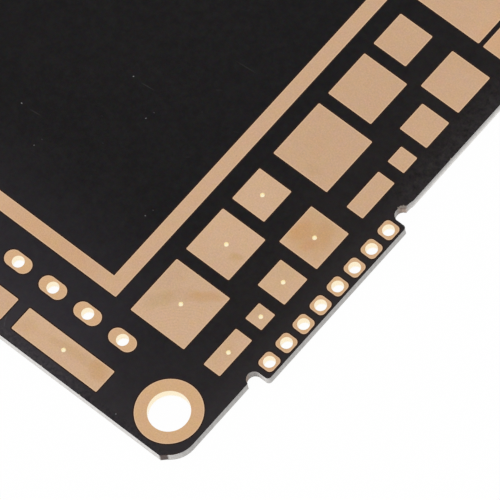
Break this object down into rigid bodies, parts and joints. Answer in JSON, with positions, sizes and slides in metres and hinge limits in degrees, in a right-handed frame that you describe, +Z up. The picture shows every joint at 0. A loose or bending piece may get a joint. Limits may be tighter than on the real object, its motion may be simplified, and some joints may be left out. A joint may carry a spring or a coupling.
{
  "type": "bare circuit board",
  "caption": "Flat black circuit board with gold pads beside a plain framed field, plated mounting holes in the corners and a row of plated header holes on an edge tab.",
  "frame": {"origin": "centre of the four mounting holes, on the underside of their rings", "axes": "+X towards the edge with the header tab, +Y along the header row, +Z up through the side with the pads"},
  "size_m": [0.0961, 0.0824, 0.0012],
  "materials": {
    "glass_epoxy": "routed glass-fibre epoxy, pale grey and finely streaked along its edge",
    "solder_mask": "black solder mask, satin",
    "plated_gold": "immersion gold over nickel and copper, satin"
  },
  "bodies": {
    "root": {"substrate": "glass_epoxy", "top_mask": "solder_mask", "bottom_mask": "solder_mask", "gold_frame": "plated_gold", "mounting_eyelet_1": "plated_gold", "mounting_eyelet_2": "plated_gold", "mounting_eyelet_3": "plated_gold", "mounting_eyelet_4": "plated_gold", "header_eyelet_1": "plated_gold", "header_eyelet_2": "plated_gold", "header_eyelet_3": "plated_gold", "header_eyelet_4": "plated_gold", "header_eyelet_5": "plated_gold", "header_eyelet_6": "plated_gold", "header_eyelet_7": "plated_gold", "header_eyelet_8": "plated_gold", "oval_eyelet_1": "plated_gold", "oval_eyelet_2": "plated_gold", "oval_eyelet_3": "plated_gold", "oval_eyelet_4": "plated_gold", "inner_pad_1": "plated_gold", "inner_pad_2": "plated_gold", "inner_pad_3": "plated_gold", "inner_pad_4": "plated_gold", "inner_pad_5": "plated_gold", "inner_pad_6": "plated_gold", "inner_pad_7": "plated_gold", "inner_pad_8": "plated_gold", "inner_pad_9": "plated_gold", "outer_pad_1": "plated_gold", "outer_pad_2": "plated_gold", "outer_pad_3": "plated_gold", "outer_pad_4": "plated_gold", "outer_pad_5": "plated_gold", "outer_pad_6": "plated_gold", "outer_pad_7": "plated_gold", "outer_pad_8": "plated_gold", "outer_pad_9": "plated_gold", "outer_pad_10": "plated_gold", "outer_pad_11": "plated_gold", "outer_pad_12": "plated_gold", "foot_pad_1": "plated_gold", "foot_pad_2": "plated_gold", "foot_pad_3": "plated_gold", "foot_pad_4": "plated_gold", "foot_pad_5": "plated_gold", "foot_pad_6": "plated_gold"}
  },
  "joints": []
}
